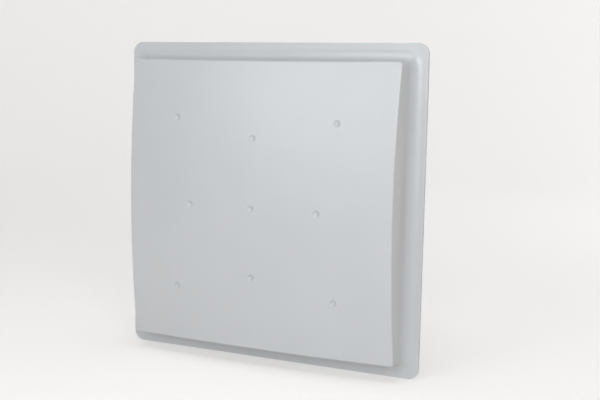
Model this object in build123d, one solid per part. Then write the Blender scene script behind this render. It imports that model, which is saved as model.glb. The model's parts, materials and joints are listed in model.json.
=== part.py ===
from build123d import *
import os
from math import radians, sqrt, tan

# Square panel antenna of a security gate: a formed plastic cover on a flat metal
# plate, with a two by two array of patches, their feed and a coaxial socket.
# Millimetres. +X right and +Z up as the cover is seen, -Y out of the cover's front,
# +Y towards the wall. The origin is the centre of the plate's rear face.

# Plate and the cover's flange
panel_size = 450.0
panel_corner_r = 15.0
plate_t = 2.0
tape_t = 0.6
cover_t = 3.0
flange_edge_r = 1.2
flange_back_y = -(plate_t + tape_t)
flange_front_y = flange_back_y - cover_t

# The cover's raised box: drafted walls and a front that is crowned both ways
box_half = 205.0
box_draft = 7.5
box_corner_r = 9.5
box_corner_r_front = 3.7
box_corner_front_depth = 40.0
crown_depth = 60.7
crown_r_across = 1830.0
crown_r_up = 1275.0
crown_half_width = 235.0
crown_half_angle = 11.0
crown_back_y = 60.0
wall_overshoot = 2.0
cavity_corner_slope = 0.09
front_edge_r = 2.2
root_r = 17.0
mouth_r = 5.0

# Recesses of the front, each over a post
array_pitch = 240.0
side_post_offset = 96.0
recess_r = 4.7
recess_depth = 2.3
recess_rim_r = 0.8
recess_boss_r = 6.0
recess_boss_flare = 1.3
pip_x = 157.0
pip_z = 29.5
pip_r = 1.8
pip_height = 0.3
pip_zone_margin = 1.0

# Adhesive tape between the flange and the plate
tape_inset = 2.0
tape_width = 15.0
tape_inner_r = 4.0
plate_edge = 0.3

# Patches, their spacers and the feed
patch_size = 150.0
patch_t = 1.5
patch_gap = 14.0
patch_corner_cut = 18.0
patch_back_y = -(plate_t + patch_gap)
patch_front_y = patch_back_y - patch_t
feed_offset = 48.0
feed_x = array_pitch / 2 - feed_offset
strip_gap = 3.0
strip_t = 1.0
strip_width = 8.0
strip_back_y = -(plate_t + strip_gap)
strip_front_y = strip_back_y - strip_t
ring_r = 52.0
arm_turn = 74.0
probe_r = 1.5
probe_collar_r = 2.4
probe_collar_t = 1.0
probe_proud = 0.8
spacer_r = 4.0
spacer_peg_r = 1.5
spacer_head_t = 1.0

# Posts between the plate and the cover
post_r = 5.0
post_foot_r = 8.0
post_foot_t = 3.0
post_edge = 0.5
post_clear = 0.1
post_thread = 5.0
patch_post_stud_y = patch_back_y + post_thread
standoff_across = 8.0
m4_r = 2.0
m4_length = 10.0
m4_head_r = 4.0
m4_head_t = 2.6
m4_hole_r = 2.2
seal_r = 4.6
seal_t = 0.8
bore_spare = 0.3

# Shape of a pan head screw, as shares of its head's height, head's radius or shank's radius
head_round = 0.45
tip_chamfer = 0.2
cross_depth = 0.55
cross_length = 1.15
cross_width = 0.24

# Rear studs, M6 on a 100 mm square
stud_pitch = 100.0
stud_r = 3.0
stud_length = 20.0
stud_collar_r = 3.5
stud_head_r = 4.7
stud_head_t = 1.2
stud_tip = 0.8

# Coaxial socket, type N, with a four-hole flange
socket_z = -30.0
socket_flange = 25.4
socket_flange_t = 2.4
socket_flange_corner_r = 1.2
socket_screw_pitch = 18.26
socket_r = 7.94
socket_length = 16.0
socket_lead_in = 0.6
socket_groove_at = 3.8
socket_groove_width = 1.2
socket_groove_r = 7.0
socket_bore_r = 4.05
socket_bore_depth = 10.0
socket_spigot_r = 5.0
spigot_clear = 0.1
insulator_r = 3.5
insulator_back_y = -2.6
contact_r = 1.5
contact_bore_r = 0.83
contact_bore_depth = 6.0
contact_slot = 0.35
contact_slot_depth = 4.0
contact_recess = 2.6
contact_tail_r = 1.0
contact_step_y = 6.0
gasket_t = 0.8
m3_r = 1.5
m3_hole_r = 1.65
m3_head_r = 2.8
m3_head_t = 2.0
m3_length = 8.0
m3_nut_across = 5.5
m3_nut_t = 2.4
socket_front_y = gasket_t + socket_flange_t

# Breather and rating label on the rear
vent_z = -170.0
vent_r = 4.0
vent_bore_r = 2.4
vent_head_r = 8.0
vent_head_t = 3.0
vent_lip_r = 4.6
vent_lip_t = 2.0
vent_duct = 1.2
membrane_t = 0.3
label_width = 90.0
label_height = 50.0
label_t = 0.2
label_corner_r = 3.0
label_z = 130.0

corners = ((1, 1), (-1, 1), (-1, -1), (1, -1))
corner_names = ("upper_right", "upper_left", "lower_left", "lower_right")
quarter_turns = (0, 90, 180, 270)
patch_centres = [(i * array_pitch / 2, j * array_pitch / 2) for i, j in corners]
side_posts = {
    "right": (side_post_offset, 0),
    "top": (0, side_post_offset),
    "left": (-side_post_offset, 0),
    "bottom": (0, -side_post_offset),
}
post_places = [(0, 0), *patch_centres, *side_posts.values()]
stud_places = [(i * stud_pitch / 2, j * stud_pitch / 2) for i, j in corners]
socket_screw_places = [
    (i * socket_screw_pitch / 2, socket_z + j * socket_screw_pitch / 2) for i, j in corners
]
spacer_places = [(feed_x / 2, arm_turn), (feed_x, (arm_turn + array_pitch / 2) / 2)]


def facing_front(y, x=0, z=0):
    """Plane across the Y axis whose normal points out of the cover's front."""
    return Plane((x, y, z), x_dir=(1, 0, 0), z_dir=(0, -1, 0))


def turned(shape, angle):
    """Turned about the Y axis, anticlockwise as the front is seen."""
    return shape.rotate(Axis((0, 0, 0), (0, -1, 0)), angle)


def rod(x, z, y_front, y_back, r):
    """Round rod along Y between two heights."""
    return extrude(facing_front(y_back, x, z) * Circle(r), y_back - y_front)


def hex_rod(x, z, y_front, y_back, across):
    """Hexagonal rod along Y, across its flats."""
    outline = RegularPolygon(across / 2, 6, major_radius=False)
    return extrude(facing_front(y_back, x, z) * outline, y_back - y_front)


def slab(width, height, corner_r, y_front, y_back, x=0, z=0):
    """Flat sheet with rounded corners."""
    outline = RectangleRounded(width, height, corner_r)
    return extrude(facing_front(y_back, x, z) * outline, y_back - y_front)


def crown_y(x, z, inset=0.0):
    """Y of the crowned front at x and z, or of a surface set in behind it."""
    front = flange_front_y - crown_depth
    across = crown_r_across - inset
    axis_y = front + crown_r_up
    middle = front + crown_r_across - sqrt(across**2 - x**2)
    return axis_y - sqrt((axis_y - middle) ** 2 - z**2)


def crown_block(inset):
    """Block whose front is the crown: an arc across, swung about an axis behind."""
    axis = Axis((0, flange_front_y - crown_depth + crown_r_up, 0), (1, 0, 0))
    side_y = crown_y(crown_half_width, 0, inset)
    front = ThreePointArc(
        (-crown_half_width, side_y),
        (0, crown_y(0, 0, inset)),
        (crown_half_width, side_y),
    )
    back = Polyline(
        (crown_half_width, side_y),
        (crown_half_width, crown_back_y),
        (-crown_half_width, crown_back_y),
        (-crown_half_width, side_y),
    )
    outline = make_face(front + back).rotate(axis, -crown_half_angle)
    return revolve(outline, axis, 2 * crown_half_angle)


def wall_block(inset, corner_r, corner_slope):
    """Drafted square block. Its corners get tighter towards the front."""
    sections = []
    for depth in (-cover_t, crown_depth + wall_overshoot):
        half = box_half - inset - depth * tan(radians(box_draft))
        r = corner_r - depth * corner_slope
        outline = RectangleRounded(2 * half, 2 * half, r)
        sections.append(facing_front(flange_front_y - depth) * outline)
    return loft(sections, ruled=True)


def flange_face(body, y):
    """Flat face of the cover's flange at y, a frame round the box."""
    flat_faces = body.faces().filter_by(Axis.Y)
    return min(flat_faces, key=lambda face: abs(face.center().Y - y))


def recess_bosses():
    """Flared cones that the cavity leaves solid behind the recesses."""
    height = recess_depth + cover_t
    bosses = []
    for x, z in post_places:
        floor_y = crown_y(x, z) + height
        base = facing_front(floor_y, x, z) * Circle(recess_boss_r)
        mouth_outline = Circle(recess_boss_r + height * recess_boss_flare)
        mouth = facing_front(floor_y - height, x, z) * mouth_outline
        bosses.append(loft([base, mouth], ruled=True))
    return bosses


def recess_balls():
    """Balls whose backs dish the recesses into the front."""
    ball_r = (recess_r**2 + recess_depth**2) / (2 * recess_depth)
    balls = []
    for x, z in post_places:
        balls.append(Pos(x, crown_y(x, z) + recess_depth - ball_r, z) * Sphere(ball_r))
    return balls


def round_recesses(body):
    """Rounds the rim of each recess."""
    for x, z in post_places:
        middle = Vector(x, crown_y(x, z), z)
        rims = [
            edge
            for edge in body.edges()
            if (edge @ 0.0 - middle).length < 2 * recess_r
        ]
        body = fillet(rims, recess_rim_r)
    return body


def radome():
    """Formed cover: flat flange, drafted walls and a crowned front."""
    slope = (box_corner_r - box_corner_r_front) / box_corner_front_depth
    outer_walls = wall_block(0.0, box_corner_r, slope)
    box = outer_walls & crown_block(0.0)
    flange = slab(panel_size, panel_size, panel_corner_r, flange_front_y, flange_back_y)
    body = flange + box
    front_face = body.faces().sort_by(Axis.Y)[0]
    body = fillet(front_face.edges(), front_edge_r)
    body = fillet(flange_face(body, flange_front_y).inner_wires()[0].edges(), root_r)
    body = fillet(flange_face(body, flange_front_y).outer_wire().edges(), flange_edge_r)
    pip_ball_r = (pip_r**2 + pip_height**2) / (2 * pip_height)
    pip_y = crown_y(pip_x, pip_z) - pip_height + pip_ball_r
    pip_ball = Pos(pip_x, pip_y, pip_z) * Sphere(pip_ball_r)
    pip_zone_back = crown_y(pip_x, pip_z) + cover_t
    pip_zone = rod(pip_x, pip_z, pip_y - pip_ball_r, pip_zone_back, pip_r + pip_zone_margin)
    body = body + (pip_ball & pip_zone)
    cavity_walls = wall_block(cover_t, box_corner_r - cover_t, cavity_corner_slope)
    cavity = cavity_walls & crown_block(cover_t)
    for boss in recess_bosses():
        cavity = cavity - boss
    for ball in recess_balls():
        body = body - ball
    body = round_recesses(body) - cavity
    return fillet(flange_face(body, flange_back_y).inner_wires()[0].edges(), mouth_r)


def perimeter_tape():
    """Closed ring of foam tape that bonds and seals the flange to the plate."""
    outer = panel_size - 2 * tape_inset
    inner = outer - 2 * tape_width
    outer_r = panel_corner_r - tape_inset
    ring = slab(outer, outer, outer_r, flange_back_y, -plate_t)
    return ring - slab(inner, inner, tape_inner_r, flange_back_y, -plate_t)


def reflector_plate():
    """Flat sheet that carries everything, with its holes."""
    plate = slab(panel_size, panel_size, panel_corner_r, -plate_t, 0)
    rear_face = plate.faces().sort_by(Axis.Y)[-1]
    plate = chamfer(rear_face.edges(), plate_edge)
    for x, z in post_places:
        plate = plate - rod(x, z, -plate_t, 0, m4_hole_r)
    for x, z in stud_places:
        plate = plate - rod(x, z, -plate_t, 0, stud_collar_r)
    for x, z in socket_screw_places:
        plate = plate - rod(x, z, -plate_t, 0, m3_hole_r)
    plate = plate - rod(0, socket_z, -plate_t, 0, socket_spigot_r + spigot_clear)
    return plate - rod(0, vent_z, -plate_t, 0, vent_r)


def patch():
    """Upper right patch: two opposite corners cut, a centre hole and a feed hole."""
    x, z = patch_centres[0]
    half = patch_size / 2
    cut = patch_corner_cut
    outline = Polyline(
        (-half, half),
        (half - cut, half),
        (half, half - cut),
        (half, -half),
        (cut - half, -half),
        (-half, cut - half),
        close=True,
    )
    sheet = extrude(facing_front(patch_back_y, x, z) * make_face(outline), patch_t)
    sheet = sheet - rod(x, z, patch_front_y, patch_back_y, m4_hole_r)
    return sheet - rod(x - feed_offset, z, patch_front_y, patch_back_y, probe_r)


def patch_standoff(x, z):
    """Hexagonal spacer, tapped at both ends, that holds a patch off the plate."""
    body = hex_rod(x, z, patch_back_y, -plate_t, standoff_across)
    screw_tip_y = seal_t - m4_length
    body = body - rod(x, z, screw_tip_y - bore_spare, -plate_t, m4_r)
    return body - rod(x, z, patch_back_y, patch_post_stud_y + bore_spare, m4_r)


def post_shaft(x, z, foot_y):
    """Foot and shaft of a post that stands on foot_y and ends under a recess."""
    tip_y = crown_y(x, z) + recess_depth + cover_t + post_clear
    shaft = rod(x, z, tip_y, foot_y, post_r)
    shaft = chamfer(shaft.faces().sort_by(Axis.Y)[0].edges(), post_edge)
    foot = rod(x, z, foot_y - post_foot_t, foot_y, post_foot_r)
    return shaft + foot


def patch_post(x, z):
    """Post on a patch, screwed through it into the spacer by its own thread."""
    stud = rod(x, z, patch_front_y, patch_post_stud_y, m4_r)
    return post_shaft(x, z, patch_front_y) + stud


def plate_post(x, z):
    """Post on the plate, tapped for the screw that holds it."""
    screw_tip_y = seal_t - m4_length
    return post_shaft(x, z, -plate_t) - rod(x, z, screw_tip_y - bore_spare, -plate_t, m4_r)


def pan_screw(x, z, seat_y, length, shank_r, head_r, head_t):
    """Pan head screw driven from the rear, with a cross recess."""
    head = rod(x, z, seat_y, seat_y + head_t, head_r)
    head = fillet(head.faces().sort_by(Axis.Y)[-1].edges(), head_round * head_t)
    shank = rod(x, z, seat_y - length, seat_y, shank_r)
    shank = chamfer(shank.faces().sort_by(Axis.Y)[0].edges(), tip_chamfer * shank_r)
    slot_depth = cross_depth * head_t
    slot_y = seat_y + head_t - slot_depth / 2
    long_side = cross_length * head_r
    short_side = cross_width * head_r
    across = Pos(x, slot_y, z) * Box(long_side, slot_depth, short_side)
    upright = Pos(x, slot_y, z) * Box(short_side, slot_depth, long_side)
    return head + shank - across - upright


def washer(x, z, y_front, thickness, inner_r, outer_r):
    """Flat ring."""
    ring = rod(x, z, y_front, y_front + thickness, outer_r)
    return ring - rod(x, z, y_front, y_front + thickness, inner_r)


def strip_leg(start, end):
    """Straight run of the feed strip with round ends, in the strip's own plane."""
    along_x = abs(end[0] - start[0])
    along_z = abs(end[1] - start[1])
    middle = Pos((start[0] + end[0]) / 2, (start[1] + end[1]) / 2)
    leg = middle * Rectangle(max(along_x, strip_width), max(along_z, strip_width))
    for x, z in (start, end):
        leg = leg + Pos(x, z) * Circle(strip_width / 2)
    return leg


def feed_strip():
    """Flat conductor: three quarters of a ring, four arms and the socket's trunk."""
    outer_r = ring_r + strip_width / 2
    ring = Circle(outer_r) - Circle(ring_r - strip_width / 2)
    outline = ring - Pos(outer_r, -outer_r) * Rectangle(2 * outer_r, 2 * outer_r)
    route = [(0, ring_r), (0, arm_turn), (feed_x, arm_turn), (feed_x, array_pitch / 2)]
    for angle in quarter_turns:
        for start, end in zip(route, route[1:]):
            outline = outline + Rot(0, 0, angle) * strip_leg(start, end)
    outline = outline + strip_leg((0, socket_z), (0, -ring_r))
    strip = extrude(facing_front(strip_back_y) * outline, strip_t)
    strip = strip - rod(0, socket_z, strip_front_y, strip_back_y, contact_tail_r)
    feed_hole = rod(feed_x, array_pitch / 2, strip_front_y, strip_back_y, probe_r)
    holes = [feed_hole]
    for x, z in spacer_places:
        holes.append(rod(x, z, strip_front_y, strip_back_y, spacer_peg_r))
    for angle in quarter_turns:
        for hole in holes:
            strip = strip - turned(hole, angle)
    return strip


def feed_probe():
    """Upper right probe: a pin from the strip up through the patch, with a collar."""
    z = array_pitch / 2
    pin = rod(feed_x, z, patch_front_y - probe_proud, strip_back_y, probe_r)
    collar_y = strip_front_y - probe_collar_t
    return pin + rod(feed_x, z, collar_y, strip_front_y, probe_collar_r)


def strip_spacer(x, z):
    """Plastic spacer under the strip, with a peg and head that hold the strip down."""
    disc = rod(x, z, strip_back_y, -plate_t, spacer_r)
    peg = rod(x, z, strip_front_y, strip_back_y, spacer_peg_r)
    head = rod(x, z, strip_front_y - spacer_head_t, strip_front_y, spacer_r - spacer_head_t)
    return disc + peg + head


def mounting_stud(x, z):
    """Stud pressed into the plate, its head inside and its thread out of the rear."""
    head = rod(x, z, -plate_t - stud_head_t, -plate_t, stud_head_r)
    collar = rod(x, z, -plate_t, 0, stud_collar_r)
    shank = rod(x, z, 0, stud_length, stud_r)
    shank = chamfer(shank.faces().sort_by(Axis.Y)[-1].edges(), stud_tip)
    return head + collar + shank


def socket_body():
    """Flanged shell of the coaxial socket."""
    flange = slab(
        socket_flange,
        socket_flange,
        socket_flange_corner_r,
        gasket_t,
        socket_front_y,
        z=socket_z,
    )
    end_y = socket_front_y + socket_length
    barrel = rod(0, socket_z, socket_front_y, end_y, socket_r)
    barrel = chamfer(barrel.faces().sort_by(Axis.Y)[-1].edges(), socket_lead_in)
    groove_y = socket_front_y + socket_groove_at
    groove = washer(0, socket_z, groove_y, socket_groove_width, socket_groove_r, socket_r + 1)
    spigot = rod(0, socket_z, -plate_t, gasket_t, socket_spigot_r)
    body = flange + (barrel - groove) + spigot
    body = body - rod(0, socket_z, end_y - socket_bore_depth, end_y, socket_bore_r)
    body = body - rod(0, socket_z, -plate_t, end_y - socket_bore_depth, insulator_r)
    for x, z in socket_screw_places:
        body = body - rod(x, z, gasket_t, socket_front_y, m3_hole_r)
    return body


def socket_insulator():
    """Stepped plastic core that centres the contact in the shell."""
    end_y = socket_front_y + socket_length - socket_bore_depth
    core = rod(0, socket_z, insulator_back_y, end_y, insulator_r)
    core = core - rod(0, socket_z, insulator_back_y, contact_step_y, contact_tail_r)
    return core - rod(0, socket_z, contact_step_y, end_y, contact_r)


def socket_contact():
    """Slotted centre contact and the tail that is soldered to the strip."""
    end_y = socket_front_y + socket_length - contact_recess
    tail = rod(0, socket_z, strip_front_y - probe_proud, contact_step_y, contact_tail_r)
    finger = rod(0, socket_z, contact_step_y, end_y, contact_r)
    finger = finger - rod(0, socket_z, end_y - contact_bore_depth, end_y, contact_bore_r)
    slot_y = end_y - contact_slot_depth / 2
    across = Pos(0, slot_y, socket_z) * Box(2 * contact_r, contact_slot_depth, contact_slot)
    upright = Pos(0, slot_y, socket_z) * Box(contact_slot, contact_slot_depth, 2 * contact_r)
    return tail + (finger - across - upright)


def socket_gasket():
    """Flat gasket between the socket's flange and the plate."""
    pad = slab(
        socket_flange, socket_flange, socket_flange_corner_r, 0, gasket_t, z=socket_z
    )
    pad = pad - rod(0, socket_z, 0, gasket_t, socket_spigot_r + spigot_clear)
    for x, z in socket_screw_places:
        pad = pad - rod(x, z, 0, gasket_t, m3_hole_r)
    return pad


def socket_nut(x, z):
    """Hexagonal nut inside the plate on one of the socket's screws."""
    nut = hex_rod(x, z, -plate_t - m3_nut_t, -plate_t, m3_nut_across)
    return nut - rod(x, z, -plate_t - m3_nut_t, -plate_t, m3_r)


def vent_plug():
    """Snap-in breather body: a head with cross vents, a stem and a retaining lip."""
    head = rod(0, vent_z, 0, vent_head_t, vent_head_r)
    head = fillet(head.faces().sort_by(Axis.Y)[-1].edges(), vent_head_t / 3)
    stem = rod(0, vent_z, -plate_t, 0, vent_r)
    lip = rod(0, vent_z, -plate_t - vent_lip_t, -plate_t, vent_lip_r)
    bore = rod(0, vent_z, -plate_t - vent_lip_t, vent_head_t / 2, vent_bore_r)
    duct = Pos(0, vent_head_t / 3, vent_z) * Box(2 * vent_head_r, vent_duct, vent_duct)
    return head + stem + lip - bore - duct


def vent_membrane():
    """Thin breathing disc across the breather's bore."""
    return rod(0, vent_z, -plate_t, -plate_t + membrane_t, vent_bore_r)


def rating_label():
    """Blank label on the rear."""
    return slab(label_width, label_height, label_corner_r, 0, label_t, z=label_z)


def write(name, solids):
    """Write one node: a single solid, or a group of separate ones."""
    shape = solids if len(solids) > 1 else solids[0]
    if len(solids) > 1:
        shape = Compound(children=[solid for piece in solids for solid in piece.solids()])
    shape.label = name
    export_step(shape, f"parts/{name}.step")


def main():
    os.makedirs("parts", exist_ok=True)
    write("radome", [radome()])
    write("perimeter_tape", [perimeter_tape()])
    write("reflector_plate", [reflector_plate()])
    for name, angle, (x, z) in zip(corner_names, quarter_turns, patch_centres):
        write(f"patch_{name}", [turned(patch(), angle)])
        write(f"feed_probe_{name}", [turned(feed_probe(), angle)])
        write(f"patch_standoff_{name}", [patch_standoff(x, z)])
        write(f"patch_post_{name}", [patch_post(x, z)])
    write("centre_post", [plate_post(0, 0)])
    for name, (x, z) in side_posts.items():
        write(f"side_post_{name}", [plate_post(x, z)])
    m4 = (m4_length, m4_r, m4_head_r, m4_head_t)
    write("post_screws", [pan_screw(x, z, seal_t, *m4) for x, z in post_places])
    write("post_seals", [washer(x, z, 0, seal_t, m4_hole_r, seal_r) for x, z in post_places])
    write("feed_strip", [feed_strip()])
    spacers = [strip_spacer(x, z) for x, z in spacer_places]
    write("strip_spacers", [turned(s, angle) for angle in quarter_turns for s in spacers])
    write("mounting_studs", [mounting_stud(x, z) for x, z in stud_places])
    write("socket_body", [socket_body()])
    write("socket_insulator", [socket_insulator()])
    write("socket_contact", [socket_contact()])
    write("socket_gasket", [socket_gasket()])
    m3 = (m3_length, m3_r, m3_head_r, m3_head_t)
    write("socket_screws", [pan_screw(x, z, socket_front_y, *m3) for x, z in socket_screw_places])
    write("socket_nuts", [socket_nut(x, z) for x, z in socket_screw_places])
    write("vent_plug", [vent_plug()])
    write("vent_membrane", [vent_membrane()])
    write("rating_label", [rating_label()])


main()
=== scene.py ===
import json
import math

import bmesh
import bpy
from mathutils import Matrix, Vector


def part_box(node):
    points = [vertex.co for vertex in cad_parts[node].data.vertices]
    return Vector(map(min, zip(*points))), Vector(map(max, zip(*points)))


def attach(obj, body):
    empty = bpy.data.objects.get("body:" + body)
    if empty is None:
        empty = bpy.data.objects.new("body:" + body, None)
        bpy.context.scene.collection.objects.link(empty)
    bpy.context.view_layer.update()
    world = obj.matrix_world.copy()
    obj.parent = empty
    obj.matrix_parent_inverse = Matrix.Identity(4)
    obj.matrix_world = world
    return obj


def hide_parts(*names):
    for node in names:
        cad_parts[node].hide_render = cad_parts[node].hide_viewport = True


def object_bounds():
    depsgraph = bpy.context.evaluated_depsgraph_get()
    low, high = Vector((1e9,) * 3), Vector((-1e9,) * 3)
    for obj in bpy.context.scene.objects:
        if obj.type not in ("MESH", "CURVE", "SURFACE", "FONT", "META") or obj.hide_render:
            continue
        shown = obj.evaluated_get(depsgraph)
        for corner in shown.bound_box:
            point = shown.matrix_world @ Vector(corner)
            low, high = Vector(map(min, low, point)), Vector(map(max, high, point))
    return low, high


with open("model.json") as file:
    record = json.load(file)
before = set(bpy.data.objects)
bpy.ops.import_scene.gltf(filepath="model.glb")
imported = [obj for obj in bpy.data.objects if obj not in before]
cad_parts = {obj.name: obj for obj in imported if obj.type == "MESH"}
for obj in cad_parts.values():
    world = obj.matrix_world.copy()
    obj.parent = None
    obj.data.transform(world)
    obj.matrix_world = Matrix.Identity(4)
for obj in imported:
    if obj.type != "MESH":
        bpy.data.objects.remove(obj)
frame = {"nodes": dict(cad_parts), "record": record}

# Metres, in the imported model's frame: +Z up, -Y out of the cover's front, +Y to the wall.

cad_low, cad_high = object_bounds()
nodes = frame["nodes"]
BODY = "root"
MM = 0.001


# ---- Camera ----

SENSOR_WIDTH_MM = 36.0
LENS_MM = 57.61
CAMERA_PLACE = Vector((0.5785, -1.2186, 0.1845))
CAMERA_TARGET = Vector((0.0577, -0.0300, 0.0123))
CAMERA_ROLL_DEG = 1.02
NEAREST = 0.01


def aimed(place, target, roll_deg=0.0):
    """Matrix of a camera or a light at place that looks at target."""
    turn = (target - place).to_track_quat("-Z", "Y").to_matrix().to_4x4()
    roll = Matrix.Rotation(math.radians(roll_deg), 4, "Z")
    return Matrix.Translation(place) @ turn @ roll


def make_camera():
    """The camera, at the place and angle of a low three-quarter view."""
    data = bpy.data.cameras.new("camera")
    data.sensor_width = SENSOR_WIDTH_MM
    data.lens = LENS_MM
    data.clip_start = NEAREST
    camera = bpy.data.objects.new("camera", data)
    camera.matrix_world = aimed(CAMERA_PLACE, CAMERA_TARGET, CAMERA_ROLL_DEG)
    bpy.context.scene.collection.objects.link(camera)
    bpy.context.scene.camera = camera


# ---- Light: a white studio with large soft boxes ----

# The world is black: the soft boxes and the glow of the backdrop light everything.
WORLD_COLOUR = (0.0, 0.0, 0.0, 1.0)
# name, place and target in metres, side in metres, power in watts
SOFT_BOXES = [
    ("key", (0.9, -2.6, 0.6), (0.0, 0.0, 0.0), 1.2, 21.3),
    ("near", (0.7, -1.2, 0.7), (0.0, 0.0, 0.0), 0.5, 3.0),
    ("near_right", (1.0, -1.2, 0.5), (0.0, 0.0, 0.0), 0.4, 4.3),
    ("front", (-0.6, -2.0, 0.6), (0.0, 0.0, 0.0), 1.0, 11.3),
    ("top", (0.0, -0.6, 2.2), (0.0, 0.0, 0.0), 1.6, 25.4),
    ("top_behind", (0.2, 0.4, 2.0), (0.0, 0.0, 0.0), 1.2, 4.5),
    ("wall_right", (1.2, 1.2, 2.0), (2.2, 3.4, 0.4), 1.0, 37.0),
    ("wall_left", (-1.4, 1.2, 2.0), (-2.4, 3.2, 0.4), 1.0, 10.7),
]


def make_lights():
    """Square soft boxes in front, above and behind, and a black world."""
    world = bpy.data.worlds.new("studio")
    world.use_nodes = True
    background = world.node_tree.nodes["Background"]
    background.inputs["Color"].default_value = WORLD_COLOUR
    bpy.context.scene.world = world
    for name, place, target, side, power in SOFT_BOXES:
        data = bpy.data.lights.new(name, "AREA")
        data.shape = "SQUARE"
        data.size = side
        data.energy = power
        light = bpy.data.objects.new(name, data)
        light.matrix_world = aimed(Vector(place), Vector(target))
        bpy.context.scene.collection.objects.link(light)
    bpy.context.scene.view_settings.view_transform = "Standard"


# ---- Shader helpers ----

# Places of the colour sockets on a Mix node, which has sockets of the same names for other types
MIX_FIRST = 6
MIX_SECOND = 7
MIX_RESULT = 2
# Noise lies mostly between these two values
NOISE_LOW = 0.3
NOISE_HIGH = 0.7


class Paint:
    """A new material with short names for the nodes that the finishes share."""

    def __init__(self, name, metallic=0.0, ior=1.5):
        self.material = bpy.data.materials.new(name)
        self.material.use_nodes = True
        self.tree = self.material.node_tree
        self.shader = self.tree.nodes["Principled BSDF"]
        self.shader.inputs["Metallic"].default_value = metallic
        self.shader.inputs["IOR"].default_value = ior

    def link(self, output, target):
        """Joins a node's output to an input."""
        self.tree.links.new(output, target)

    def place(self, stretch=(1.0, 1.0, 1.0), centre=(0.0, 0.0, 0.0)):
        """Coordinates in metres from centre, stretched for directional grain."""
        coordinates = self.tree.nodes.new("ShaderNodeTexCoord")
        mapping = self.tree.nodes.new("ShaderNodeMapping")
        mapping.inputs["Scale"].default_value = stretch
        mapping.inputs["Location"].default_value = [-c * s for c, s in zip(centre, stretch)]
        self.link(coordinates.outputs["Object"], mapping.inputs["Vector"])
        return mapping.outputs["Vector"]

    def noise(self, place, cell_mm, detail=2.0):
        """Noise whose features are about cell_mm across."""
        node = self.tree.nodes.new("ShaderNodeTexNoise")
        node.inputs["Scale"].default_value = 1.0 / (cell_mm * MM)
        node.inputs["Detail"].default_value = detail
        self.link(place, node.inputs["Vector"])
        return node.outputs["Fac"]

    def spread(self, value, low, high, start=NOISE_LOW, stop=NOISE_HIGH):
        """Maps start to stop onto low to high, without going past them."""
        node = self.tree.nodes.new("ShaderNodeMapRange")
        node.inputs["From Min"].default_value = start
        node.inputs["From Max"].default_value = stop
        node.inputs["To Min"].default_value = low
        node.inputs["To Max"].default_value = high
        self.link(value, node.inputs["Value"])
        return node.outputs["Result"]

    def maths(self, operation, first, second):
        """Result of a sum on two values, each a number or a node's output."""
        node = self.tree.nodes.new("ShaderNodeMath")
        node.operation = operation
        for socket, value in zip(node.inputs, (first, second)):
            if isinstance(value, float):
                socket.default_value = value
            else:
                self.link(value, socket)
        return node.outputs["Value"]

    def blend(self, factor, dark, light):
        """Colour between dark and light, each a colour or a node's output."""
        node = self.tree.nodes.new("ShaderNodeMix")
        node.data_type = "RGBA"
        self.link(factor, node.inputs["Factor"])
        sockets = (node.inputs[MIX_FIRST], node.inputs[MIX_SECOND])
        for socket, value in zip(sockets, (dark, light)):
            if isinstance(value, tuple):
                socket.default_value = (*value, 1.0)
            else:
                self.link(value, socket)
        return node.outputs[MIX_RESULT]

    def tones(self, value, colour, darkest, lightest):
        """Shades of one colour that follow noise."""
        dark = tuple(c * darkest for c in colour)
        light = tuple(min(1.0, c * lightest) for c in colour)
        return self.blend(self.spread(value, 0.0, 1.0), dark, light)

    def about(self, value, middle, below, above):
        """Values from a little below to a little above a middle one, which follow noise."""
        return self.spread(value, middle - below, middle + above)

    def colour(self, output):
        self.link(output, self.shader.inputs["Base Color"])

    def roughness(self, output):
        self.link(output, self.shader.inputs["Roughness"])

    def bump(self, height, depth_mm, below=None):
        """Relief of that depth, which may lie on another one below."""
        node = self.tree.nodes.new("ShaderNodeBump")
        node.inputs["Distance"].default_value = depth_mm * MM
        self.link(height, node.inputs["Height"])
        if below is not None:
            self.link(below, node.inputs["Normal"])
        self.link(node.outputs["Normal"], self.shader.inputs["Normal"])
        return node.outputs["Normal"]


# ---- Finishes, one for each of the record's slots ----

COVER_COLOUR = (0.406, 0.423, 0.439)
COVER_GLOSS = 0.8
COVER_TONES = (0.985, 1.012)
COVER_ROUGHNESS = (0.33, 0.43)
COVER_CLOUD_MM = 90.0
COVER_GRAIN_MM = 0.5
COVER_GRAIN_DEPTH_MM = 0.010
COVER_WAVE_MM = 70.0
COVER_WAVE_DEPTH_MM = 0.05


def cover_plastic(name):
    """Light cool grey sheet: a fine matt grain over very faint forming waves."""
    paint = Paint(name)
    paint.shader.inputs["Specular IOR Level"].default_value = COVER_GLOSS
    place = paint.place()
    clouds = paint.noise(place, COVER_CLOUD_MM, detail=3.0)
    paint.colour(paint.tones(clouds, COVER_COLOUR, *COVER_TONES))
    grain = paint.noise(place, COVER_GRAIN_MM)
    paint.roughness(paint.spread(grain, *COVER_ROUGHNESS))
    height = paint.noise(place, COVER_WAVE_MM, detail=1.0)
    waves = paint.bump(height, COVER_WAVE_DEPTH_MM)
    paint.bump(grain, COVER_GRAIN_DEPTH_MM, waves)
    return paint.material


ROLLING_STRETCH = (1.0, 1.0, 0.02)
ROLLING_MM = 0.7
ROLLING_DEPTH_MM = 0.012
ROLLING_TONES = (0.90, 1.05)
ROLLING_ROUGHNESS = (0.06, 0.08)
SHEET_CLOUD_MM = 45.0
SHEET_DULL = 0.84
SHEET_DULL_SHARE = 0.55
SCUFF_STRETCH = (1.0, 1.0, 7.0)
SCUFF_MM = 9.0
SCUFF_RANGE = (0.62, 0.72)
SCUFF_ROUGHNESS = 0.12


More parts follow.
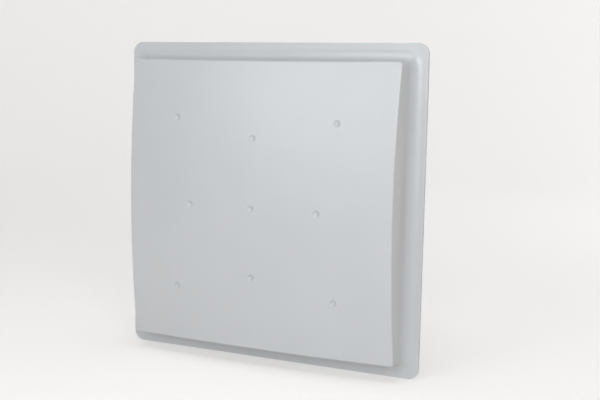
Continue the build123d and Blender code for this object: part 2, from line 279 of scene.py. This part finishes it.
def rolled_metal(name, colour, rough):
    """Mill finish sheet: rolling lines along Z, dull clouds and a few fine scuffs."""
    paint = Paint(name, metallic=1.0)
    lines = paint.noise(paint.place(ROLLING_STRETCH), ROLLING_MM, detail=3.0)
    clouds = paint.noise(paint.place(), SHEET_CLOUD_MM, detail=4.0)
    scuffs = paint.noise(paint.place(SCUFF_STRETCH), SCUFF_MM, detail=6.0)
    marks = paint.spread(scuffs, 0.0, 1.0, *SCUFF_RANGE)
    base = paint.tones(lines, colour, *ROLLING_TONES)
    dull = tuple(c * SHEET_DULL for c in colour)
    paint.colour(paint.blend(paint.spread(clouds, 0.0, SHEET_DULL_SHARE), base, dull))
    line_rough = paint.about(lines, rough, *ROLLING_ROUGHNESS)
    worn = paint.maths("MULTIPLY", marks, SCUFF_ROUGHNESS)
    paint.roughness(paint.maths("ADD", line_rough, worn))
    paint.bump(lines, ROLLING_DEPTH_MM)
    return paint.material


TURNING_STRETCH = (0.15, 1.0, 0.15)
TURNING_MM = 0.22
TURNING_DEPTH_MM = 0.006
TURNING_TONES = (0.93, 1.04)
TURNING_ROUGHNESS = (0.05, 0.07)
TURNED_CLOUD_MM = 3.0
TURNED_DULL = 0.88
TURNED_DULL_SHARE = 0.5


def turned_metal(name, colour, rough):
    """Turned or plated metal: fine rings round Y and slightly uneven tone."""
    paint = Paint(name, metallic=1.0)
    rings = paint.noise(paint.place(TURNING_STRETCH), TURNING_MM)
    clouds = paint.noise(paint.place(), TURNED_CLOUD_MM, detail=3.0)
    base = paint.tones(rings, colour, *TURNING_TONES)
    dull = tuple(c * TURNED_DULL for c in colour)
    paint.colour(paint.blend(paint.spread(clouds, 0.0, TURNED_DULL_SHARE), base, dull))
    paint.roughness(paint.about(rings, rough, *TURNING_ROUGHNESS))
    paint.bump(rings, TURNING_DEPTH_MM)
    return paint.material


MOULDED_TONES = (0.93, 1.06)
MOULDED_ROUGHNESS = (0.05, 0.08)
MOULDED_CLOUD_MM = 5.0


def moulded(name, colour, rough, grain_mm=0.4, grain_depth_mm=0.01):
    """Moulded plastic, rubber or foam with a fine grain."""
    paint = Paint(name)
    place = paint.place()
    clouds = paint.noise(place, MOULDED_CLOUD_MM, detail=3.0)
    paint.colour(paint.tones(clouds, colour, *MOULDED_TONES))
    grain = paint.noise(place, grain_mm)
    paint.roughness(paint.about(grain, rough, *MOULDED_ROUGHNESS))
    paint.bump(grain, grain_depth_mm)
    return paint.material


LABEL_INK = (0.10, 0.105, 0.11)
LABEL_FILM = (0.84, 0.85, 0.855)
LABEL_MARGIN = 0.003
LABEL_LINE = 0.0004
LABEL_ROWS = 4
LABEL_TONES = (0.97, 1.03)
LABEL_ROUGHNESS = (0.28, 0.40)
LABEL_CLOUD_MM = 8.0
LABEL_GRAIN_MM = 0.25
LABEL_GRAIN_DEPTH_MM = 0.003


def blank_label(name):
    """Satin film label: a printed frame round empty rows, with no lettering."""
    low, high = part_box("rating_label")
    centre = (low + high) / 2
    half_x = (high.x - low.x) / 2 - LABEL_MARGIN
    half_z = (high.z - low.z) / 2 - LABEL_MARGIN
    row = 2 * half_z / LABEL_ROWS
    paint = Paint(name)
    place = paint.place(centre=tuple(centre))
    axes = paint.tree.nodes.new("ShaderNodeSeparateXYZ")
    paint.link(place, axes.inputs["Vector"])
    from_x = paint.maths("ABSOLUTE", axes.outputs["X"], 0.0)
    from_z = paint.maths("ABSOLUTE", axes.outputs["Z"], 0.0)
    inside_x = paint.maths("LESS_THAN", from_x, half_x + LABEL_LINE)
    inside_z = paint.maths("LESS_THAN", from_z, half_z + LABEL_LINE)
    inside = paint.maths("MULTIPLY", inside_x, inside_z)
    side = paint.maths("GREATER_THAN", from_x, half_x)
    folded = paint.maths("PINGPONG", axes.outputs["Z"], row / 2)
    rule = paint.maths("LESS_THAN", folded, LABEL_LINE / 2)
    edge = paint.maths("GREATER_THAN", from_z, half_z)
    ink = paint.maths("MAXIMUM", paint.maths("MAXIMUM", side, rule), edge)
    ink = paint.maths("MULTIPLY", ink, inside)
    clouds = paint.noise(place, LABEL_CLOUD_MM, detail=3.0)
    film = paint.tones(clouds, LABEL_FILM, *LABEL_TONES)
    paint.colour(paint.blend(ink, film, LABEL_INK))
    grain = paint.noise(place, LABEL_GRAIN_MM)
    paint.roughness(paint.spread(grain, *LABEL_ROUGHNESS))
    paint.bump(grain, LABEL_GRAIN_DEPTH_MM)
    return paint.material


# colour and roughness
SHEET_METALS = {
    "plate_aluminium": ((0.64, 0.65, 0.66), 0.36),
    "patch_aluminium": ((0.82, 0.83, 0.84), 0.32),
    "tinned_strip": ((0.68, 0.69, 0.70), 0.40),
}
TURNED_METALS = {
    "stainless_steel": ((0.58, 0.58, 0.58), 0.30),
    "nickel_plating": ((0.74, 0.71, 0.66), 0.20),
    "brass": ((0.78, 0.58, 0.28), 0.26),
    "gold_contact": ((0.95, 0.70, 0.33), 0.20),
}
# colour and roughness, then the grain's size and depth in millimetres where it isn't the usual one
MOULDINGS = {
    "foam_tape": ((0.050, 0.050, 0.055), 0.85, 0.5, 0.05),
    "seal_rubber": ((0.022, 0.022, 0.023), 0.70, 0.3, 0.02),
    "black_plastic": ((0.026, 0.026, 0.028), 0.48, 0.35, 0.02),
    "post_nylon": ((0.78, 0.76, 0.70), 0.45),
    "white_dielectric": ((0.84, 0.84, 0.82), 0.40),
}


def make_materials():
    """One finish for each slot."""
    finishes = {
        "cover_plastic": cover_plastic("cover_plastic"),
        "blank_label": blank_label("blank_label"),
    }
    for make, table in (
        (rolled_metal, SHEET_METALS),
        (turned_metal, TURNED_METALS),
        (moulded, MOULDINGS),
    ):
        for slot, look in table.items():
            finishes[slot] = make(slot, *look)
    return finishes


# ---- Mesh helpers ----

TURN_SEGMENTS = 64
WELD = 1e-7
# Filled once the finishes are made
materials = {}


def swept_rings(rings, closed):
    """Vertices and faces of equal rings joined one to the next, closed up or capped."""
    count = len(rings[0])
    vertices = [point for ring in rings for point in ring]
    faces = []
    last = len(rings) if closed else len(rings) - 1
    for j in range(last):
        here = j * count
        there = ((j + 1) % len(rings)) * count
        for i in range(count):
            k = (i + 1) % count
            faces.append((here + i, here + k, there + k, there + i))
    if not closed:
        faces.append(tuple(reversed(range(count))))
        faces.append(tuple(range(len(vertices) - count, len(vertices))))
    return vertices, faces


def ring_at(y, radius_of_turn):
    """Ring round the Y axis. Its radius may change round the turn."""
    ring = []
    for i in range(TURN_SEGMENTS):
        share = i / TURN_SEGMENTS
        angle = 2 * math.pi * share
        r = radius_of_turn(share)
        ring.append((r * math.cos(angle), y, r * math.sin(angle)))
    return ring


THREAD_DEPTH_SHARE = 0.6134
THREAD_FLAT = 0.125
ROWS_A_PITCH = 10


def thread_radius(y, share, crest_r, pitch):
    """Radius of a right-hand thread at y, for a point at that share of a turn."""
    along = (y / pitch + share) % 1.0
    ridge = 2 * abs(along - 0.5)
    ridge = min(1.0, max(0.0, (ridge - THREAD_FLAT) / (1 - 2 * THREAD_FLAT)))
    return crest_r - THREAD_DEPTH_SHARE * pitch * ridge


def thread_rings(start_y, end_y, crest_r, pitch, tip_chamfer):
    """Rings of an outside thread whose last turns fade into a chamfer."""
    rows = round((end_y - start_y) / pitch * ROWS_A_PITCH)
    rings = []
    for j in range(rows + 1):
        y = start_y + (end_y - start_y) * j / rows
        limit = crest_r - max(0.0, tip_chamfer - (end_y - y))

        def radius(share, y=y, limit=limit):
            return min(limit, thread_radius(y, share, crest_r, pitch))

        rings.append(ring_at(y, radius))
    return rings


def lathe_rings(profile):
    """Rings round the Y axis, one for each radius and y of a profile."""
    return [ring_at(y, lambda share, r=r: r) for r, y in profile]


def place_copies(name, mesh, places, node):
    """One piece of the same mesh at each place, all standing for one CAD node."""
    for number, place in enumerate(places, start=1):
        label = f"{name}_{number}" if len(places) > 1 else name
        piece = bpy.data.objects.new(label, mesh)
        piece.location = place
        bpy.context.scene.collection.objects.link(piece)
        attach(piece, BODY)
        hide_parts(node)


def ring_mesh(name, rings, slot, closed=False):
    """Mesh from rings, in a slot's finish."""
    vertices, faces = swept_rings(rings, closed)
    mesh = bpy.data.meshes.new(name)
    mesh.from_pydata(vertices, [], faces)
    finish_mesh(mesh, slot)
    return mesh


SMOOTH_ANGLE = math.radians(35.0)


def finish_mesh(mesh, slot):
    """Welds a mesh, turns its faces outwards, and shades it smooth up to an angle."""
    shape = bmesh.new()
    shape.from_mesh(mesh)
    bmesh.ops.remove_doubles(shape, verts=shape.verts, dist=WELD)
    bmesh.ops.recalc_face_normals(shape, faces=shape.faces)
    shape.to_mesh(mesh)
    shape.free()
    mesh.shade_smooth()
    mesh.set_sharp_from_angle(angle=SMOOTH_ANGLE)
    mesh.materials.clear()
    mesh.materials.append(materials[slot])


# ---- Studs ----

STUD_HEAD_R = 0.0047
STUD_COLLAR_R = 0.0035
STUD_R = 0.0030
STUD_PITCH = 0.0010
STUD_TIP = 0.0008
STUD_PLAIN = 0.0012


def make_studs():
    """Four studs with rolled threads, pressed into the plate."""
    low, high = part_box("mounting_studs")
    plate_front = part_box("reflector_plate")[0].y
    plate_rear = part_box("reflector_plate")[1].y
    root_r = STUD_R - THREAD_DEPTH_SHARE * STUD_PITCH
    profile = [
        (STUD_HEAD_R, low.y),
        (STUD_HEAD_R, plate_front),
        (STUD_COLLAR_R, plate_front),
        (STUD_COLLAR_R, plate_rear),
        (root_r, plate_rear),
        (root_r, plate_rear + STUD_PLAIN),
    ]
    rings = lathe_rings(profile)
    thread = (STUD_R, STUD_PITCH, STUD_TIP)
    rings += thread_rings(plate_rear + STUD_PLAIN, high.y, *thread)
    mesh = ring_mesh("mounting_stud", rings, "stainless_steel")
    xs = (low.x + STUD_HEAD_R, high.x - STUD_HEAD_R)
    zs = (low.z + STUD_HEAD_R, high.z - STUD_HEAD_R)
    places = [(x, 0.0, z) for x in xs for z in zs]
    place_copies("mounting_stud", mesh, places, "mounting_studs")


# ---- Coaxial socket: a threaded barrel on a square flange ----

SOCKET_R = 0.00794
SOCKET_SPIGOT_R = 0.0050
SOCKET_BORE_R = 0.00405
SOCKET_BORE_DEPTH = 0.010
SOCKET_CORE_R = 0.0035
SOCKET_COLLAR = 0.0038
SOCKET_GROOVE = 0.0012
SOCKET_GROOVE_R = 0.0070
SOCKET_PITCH = 0.0254 / 24
SOCKET_LEAD_IN = 0.0006
SOCKET_SCREW_HOLE_R = 0.00165
SOCKET_SCREW_GRID = 0.01826
FLANGE_T = 0.0024
FLANGE_CORNER_R = 0.0012
FLANGE_EDGE = 0.0002
FLANGE_EDGE_STEPS = 2
MOUTH_CHAMFER = 0.0003
CORNER_STEPS = 6
HOLE_SEGMENTS = 48
FOUR_CORNERS = [(1, 1), (-1, 1), (-1, -1), (1, -1)]


def rounded_square(half, corner_r):
    """Points round a square with rounded corners."""
    points = []
    for quarter, (i, j) in enumerate(FOUR_CORNERS):
        for step in range(CORNER_STEPS + 1):
            angle = math.pi / 2 * (quarter + step / CORNER_STEPS)
            u = i * (half - corner_r) + corner_r * math.cos(angle)
            v = j * (half - corner_r) + corner_r * math.sin(angle)
            points.append((u, v))
    return points


def circle(u, v, r):
    """Points round a hole."""
    turn = [2 * math.pi * i / HOLE_SEGMENTS for i in range(HOLE_SEGMENTS)]
    return [(u + r * math.cos(a), v + r * math.sin(a)) for a in turn]


def sheet_mesh(name, outlines, thickness, edge, slot):
    """Flat plate with holes and slightly rounded edges, facing along Y."""
    curve = bpy.data.curves.new(name, "CURVE")
    curve.dimensions = "2D"
    curve.fill_mode = "BOTH"
    curve.extrude = thickness / 2 - edge
    curve.bevel_depth = edge
    curve.bevel_resolution = FLANGE_EDGE_STEPS
    curve.offset = -edge
    for outline in outlines:
        spline = curve.splines.new("POLY")
        spline.points.add(len(outline) - 1)
        spline.use_cyclic_u = True
        for point, (u, v) in zip(spline.points, outline):
            point.co = (u, v, 0.0, 1.0)
    holder = bpy.data.objects.new(name, curve)
    mesh = bpy.data.meshes.new_from_object(holder)
    bpy.data.objects.remove(holder)
    mesh.transform(Matrix.Rotation(math.pi / 2, 4, "X"))
    finish_mesh(mesh, slot)
    return mesh


def make_socket():
    """Shell of the socket: barrel with its thread, and flange with its holes."""
    low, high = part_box("socket_body")
    x = (low.x + high.x) / 2
    z = (low.z + high.z) / 2
    half = (high.x - low.x) / 2
    flange_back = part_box("socket_gasket")[1].y
    flange_front = flange_back + FLANGE_T
    groove = flange_front + SOCKET_COLLAR
    thread_start = groove + SOCKET_GROOVE
    outside = [
        (SOCKET_SPIGOT_R, low.y),
        (SOCKET_SPIGOT_R, flange_front),
        (SOCKET_R, flange_front),
        (SOCKET_R, groove),
        (SOCKET_GROOVE_R, groove),
        (SOCKET_GROOVE_R, thread_start),
    ]
    inside = [
        (SOCKET_BORE_R + MOUTH_CHAMFER, high.y),
        (SOCKET_BORE_R, high.y - MOUTH_CHAMFER),
        (SOCKET_BORE_R, high.y - SOCKET_BORE_DEPTH),
        (SOCKET_CORE_R, high.y - SOCKET_BORE_DEPTH),
        (SOCKET_CORE_R, low.y),
    ]
    thread = (SOCKET_R, SOCKET_PITCH, SOCKET_LEAD_IN)
    rings = lathe_rings(outside)
    rings += thread_rings(thread_start, high.y, *thread)
    rings += lathe_rings(inside)
    barrel = ring_mesh("socket_barrel", rings, "nickel_plating", closed=True)
    place_copies("socket_barrel", barrel, [(x, 0.0, z)], "socket_body")
    grid = SOCKET_SCREW_GRID / 2
    outlines = [rounded_square(half, FLANGE_CORNER_R), circle(0.0, 0.0, SOCKET_SPIGOT_R)]
    outlines += [circle(i * grid, j * grid, SOCKET_SCREW_HOLE_R) for i, j in FOUR_CORNERS]
    flange = sheet_mesh("socket_flange", outlines, FLANGE_T, FLANGE_EDGE, "nickel_plating")
    middle = (x, flange_back + FLANGE_T / 2, z)
    place_copies("socket_flange", flange, [middle], "socket_body")


# ---- Screws with cross recesses ----

SCREW_ROUND_STEPS = 8
# Cross recess: shares of the head's height, then of its radius
CROSS_DEPTH = 0.60
CROSS_PROUD = 0.25
CROSS_WING = 0.58
CROSS_HALF_WIDTH = 0.13
# Knee and floor of the recess: share of the depth, of the wing's reach and of its width
CROSS_KNEE = (0.7, 0.55, 0.9)
CROSS_FLOOR = (1.0, 0.35, 0.8)


def cross_cutter(head_r, head_t):
    """Tapered cross that is sunk into a head whose top is at Y 0."""
    depth = CROSS_DEPTH * head_t
    proud = CROSS_PROUD * head_t
    wing = CROSS_WING * head_r
    thick = CROSS_HALF_WIDTH * head_r
    flare = 1 + CROSS_KNEE[1] * proud / depth
    levels = [(proud, wing * flare, thick)]
    for down, reach, width in (CROSS_KNEE, CROSS_FLOOR):
        levels.append((-depth * down, wing * reach, thick * width))
    rings = []
    for y, reach, half in levels:
        ring = []
        for quarter in range(4):
            turn = Matrix.Rotation(quarter * math.pi / 2, 3, "Y")
            for u, v in ((reach, half), (reach, -half), (half, -half)):
                ring.append(turn @ Vector((u, y, v)))
        rings.append(ring)
    vertices, faces = swept_rings(rings, False)
    mesh = bpy.data.meshes.new("cross_cutter")
    mesh.from_pydata(vertices, [], faces)
    shape = bmesh.new()
    shape.from_mesh(mesh)
    bmesh.ops.recalc_face_normals(shape, faces=shape.faces)
    shape.to_mesh(mesh)
    shape.free()
    return mesh


def cut(mesh, cutter_mesh):
    """The mesh with the cutter's shape taken out of it."""
    whole = bpy.data.objects.new("whole", mesh)
    cutter = bpy.data.objects.new("cutter", cutter_mesh)
    for thing in (whole, cutter):
        bpy.context.scene.collection.objects.link(thing)
    modifier = whole.modifiers.new("cut", "BOOLEAN")
    modifier.operation = "DIFFERENCE"
    modifier.solver = "EXACT"
    modifier.object = cutter
    ready = whole.evaluated_get(bpy.context.evaluated_depsgraph_get())
    result = bpy.data.meshes.new_from_object(ready)
    for thing in (whole, cutter):
        bpy.data.objects.remove(thing)
    return result


def screw_mesh(name, head_r, head_t, shank_r, length, pitch, head_round):
    """Pan head screw with its head's top at Y 0 and its tip towards -Y."""
    root_r = shank_r - THREAD_DEPTH_SHARE * pitch
    seat = -head_t
    profile = [(head_r, seat)]
    for step in range(SCREW_ROUND_STEPS + 1):
        angle = math.pi / 2 * step / SCREW_ROUND_STEPS
        r = head_r - head_round * (1 - math.cos(angle))
        y = -head_round * (1 - math.sin(angle))
        profile.append((r, y))
    crown = lathe_rings(profile)
    thread = (shank_r, pitch, shank_r - root_r)
    shank = thread_rings(-seat, length - seat, *thread)
    shank = [[(x, -y, z) for x, y, z in ring] for ring in reversed(shank)]
    mesh = ring_mesh(name, shank + crown, "stainless_steel")
    mesh = cut(mesh, cross_cutter(head_r, head_t))
    mesh.name = name
    finish_mesh(mesh, "stainless_steel")
    return mesh


# Pan head screws, M4 x 10 and M3 x 8
POST_SCREW = {
    "head_r": 0.0040,
    "head_t": 0.0026,
    "head_round": 0.00117,
    "shank_r": 0.0020,
    "length": 0.0100,
    "pitch": 0.0007,
}
SOCKET_SCREW = {
    "head_r": 0.0028,
    "head_t": 0.0020,
    "head_round": 0.00090,
    "shank_r": 0.0015,
    "length": 0.0080,
    "pitch": 0.0005,
}


def make_post_screws():
    """Nine screws, one behind each post."""
    mesh = screw_mesh("post_screw", **POST_SCREW)
    head_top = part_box("post_screws")[1].y
    names = ["centre_post"]
    names += [f"side_post_{side}" for side in ("left", "right", "top", "bottom")]
    names += [name for name in sorted(nodes) if name.startswith("patch_post")]
    places = []
    for name in names:
        low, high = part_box(name)
        places.append(((low.x + high.x) / 2, head_top, (low.z + high.z) / 2))
    place_copies("post_screw", mesh, places, "post_screws")


def make_socket_screws():
    """Four screws at the corners of the socket's flange."""
    mesh = screw_mesh("socket_screw", **SOCKET_SCREW)
    head_r = SOCKET_SCREW["head_r"]
    low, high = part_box("socket_screws")
    xs = (low.x + head_r, high.x - head_r)
    zs = (low.z + head_r, high.z - head_r)
    places = [(x, high.y, z) for x in xs for z in zs]
    place_copies("socket_screw", mesh, places, "socket_screws")


# ---- Breather ----

VENT_HEAD_R = 0.0080
VENT_STEM_R = 0.0040
VENT_LIP_R = 0.0046
VENT_BORE_R = 0.0024
VENT_RIM_ROUND = 0.0010
VENT_SLOT_FLOOR_R = 0.0048
VENT_SLOTS = 8
VENT_SLOT_SHARE = 0.25
VENT_SLOT_HEIGHT = 0.0011
VENT_GRIPS = 16
VENT_GRIP_DEPTH = 0.00022
VENT_TOP_DISH_R = 0.0052
VENT_TOP_DISH = 0.0003
VENT_BARB = 0.0008
VENT_BLIND = 0.0015


def vent_slot(share):
    """Radius under the breather's head: open slots between short walls."""
    in_slot = (share * VENT_SLOTS) % 1.0 < VENT_SLOT_SHARE
    return VENT_SLOT_FLOOR_R if in_slot else VENT_HEAD_R


def vent_grip(r, share):
    """Radius of the breather's rim, with shallow grip flutes."""
    flute = (1 + math.cos(2 * math.pi * VENT_GRIPS * share)) / 2
    return r - VENT_GRIP_DEPTH * flute


def make_vent():
    """Snap-in breather: a fluted cap with side slots, a stem and a retaining barb."""
    low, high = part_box("vent_plug")
    x = (low.x + high.x) / 2
    z = (low.z + high.z) / 2
    plate_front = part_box("reflector_plate")[0].y
    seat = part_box("reflector_plate")[1].y
    top = high.y
    rings = lathe_rings([(VENT_BORE_R, seat + VENT_BLIND), (VENT_BORE_R, low.y)])
    stem = [
        (VENT_STEM_R, low.y),
        (VENT_LIP_R, low.y + VENT_BARB),
        (VENT_LIP_R, plate_front),
        (VENT_STEM_R, plate_front),
        (VENT_STEM_R, seat),
    ]
    rings += lathe_rings(stem)
    rings.append(ring_at(seat, vent_slot))
    rings.append(ring_at(seat + VENT_SLOT_HEIGHT, vent_slot))
    for step in range(SCREW_ROUND_STEPS + 1):
        angle = math.pi / 2 * step / SCREW_ROUND_STEPS
        r = VENT_HEAD_R - VENT_RIM_ROUND * (1 - math.cos(angle))
        y = top - VENT_RIM_ROUND * (1 - math.sin(angle))
        rings.append(ring_at(y, lambda share, r=r: vent_grip(r, share)))
    dish = [
        (VENT_TOP_DISH_R, top),
        (VENT_TOP_DISH_R - VENT_TOP_DISH, top - VENT_TOP_DISH),
    ]
    rings += lathe_rings(dish)
    mesh = ring_mesh("breather", rings, "black_plastic")
    place_copies("breather", mesh, [(x, 0.0, z)], "vent_plug")


def dress_nodes():
    """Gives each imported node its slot's material."""
    for subpart in frame["record"]["subparts"]:
        node = nodes[subpart["node"]]
        node.data.materials.clear()
        node.data.materials.append(materials[subpart["material_slot"]])


# ---- Stage ----

FLOOR_RADIUS = 2.4
SWEEP_RADIUS = 1.2
BACKDROP_TOP = 3.2
SWEEP_STEPS = 24
BACKDROP_TURN_STEPS = 96
BACKDROP_COLOUR = (0.560, 0.553, 0.547, 1.0)
BACKDROP_GLOW_COLOUR = (1.0, 0.985, 0.973, 1.0)
# The backdrop glows behind the object only. The glow changes between these two places on Y.
GLOW_BEHIND = 0.363
GLOW_IN_FRONT = 0.0
GLOW_BEHIND_Y = -0.9
GLOW_IN_FRONT_Y = -2.2
BACKDROP_ROUGHNESS = 0.9
BACKDROP_GLOSS = 0.1


def make_stage():
    """Pale round floor that curves up all round into a pale, softly lit wall."""
    floor_z = cad_low.z
    profile = [(FLOOR_RADIUS, floor_z)]
    for step in range(1, SWEEP_STEPS + 1):
        angle = math.pi / 2 * step / SWEEP_STEPS
        r = FLOOR_RADIUS + SWEEP_RADIUS * math.sin(angle)
        profile.append((r, floor_z + SWEEP_RADIUS * (1 - math.cos(angle))))
    profile.append((FLOOR_RADIUS + SWEEP_RADIUS, floor_z + BACKDROP_TOP))
    steps = BACKDROP_TURN_STEPS
    turn = [2 * math.pi * i / steps for i in range(steps)]
    points = [(r * math.cos(a), r * math.sin(a), z) for r, z in profile for a in turn]
    faces = [tuple(range(steps))]
    for ring in range(0, len(points) - steps, steps):
        for i in range(steps):
            k = (i + 1) % steps
            faces.append((ring + i, ring + steps + i, ring + steps + k, ring + k))
    mesh = bpy.data.meshes.new("backdrop")
    mesh.from_pydata(points, [], faces)
    mesh.shade_smooth()
    paint = Paint("backdrop")
    paint.shader.inputs["Base Color"].default_value = BACKDROP_COLOUR
    paint.shader.inputs["Roughness"].default_value = BACKDROP_ROUGHNESS
    paint.shader.inputs["Specular IOR Level"].default_value = BACKDROP_GLOSS
    paint.shader.inputs["Emission Color"].default_value = BACKDROP_GLOW_COLOUR
    axes = paint.tree.nodes.new("ShaderNodeSeparateXYZ")
    paint.link(paint.place(), axes.inputs["Vector"])
    reach = (GLOW_IN_FRONT_Y, GLOW_BEHIND_Y)
    glow = paint.spread(axes.outputs["Y"], GLOW_IN_FRONT, GLOW_BEHIND, *reach)
    paint.link(glow, paint.shader.inputs["Emission Strength"])
    mesh.materials.append(paint.material)
    backdrop = bpy.data.objects.new("backdrop", mesh)
    bpy.context.scene.collection.objects.link(backdrop)


make_camera()
make_lights()
make_stage()
materials.update(make_materials())
dress_nodes()
make_studs()
make_socket()
make_post_screws()
make_socket_screws()
make_vent()
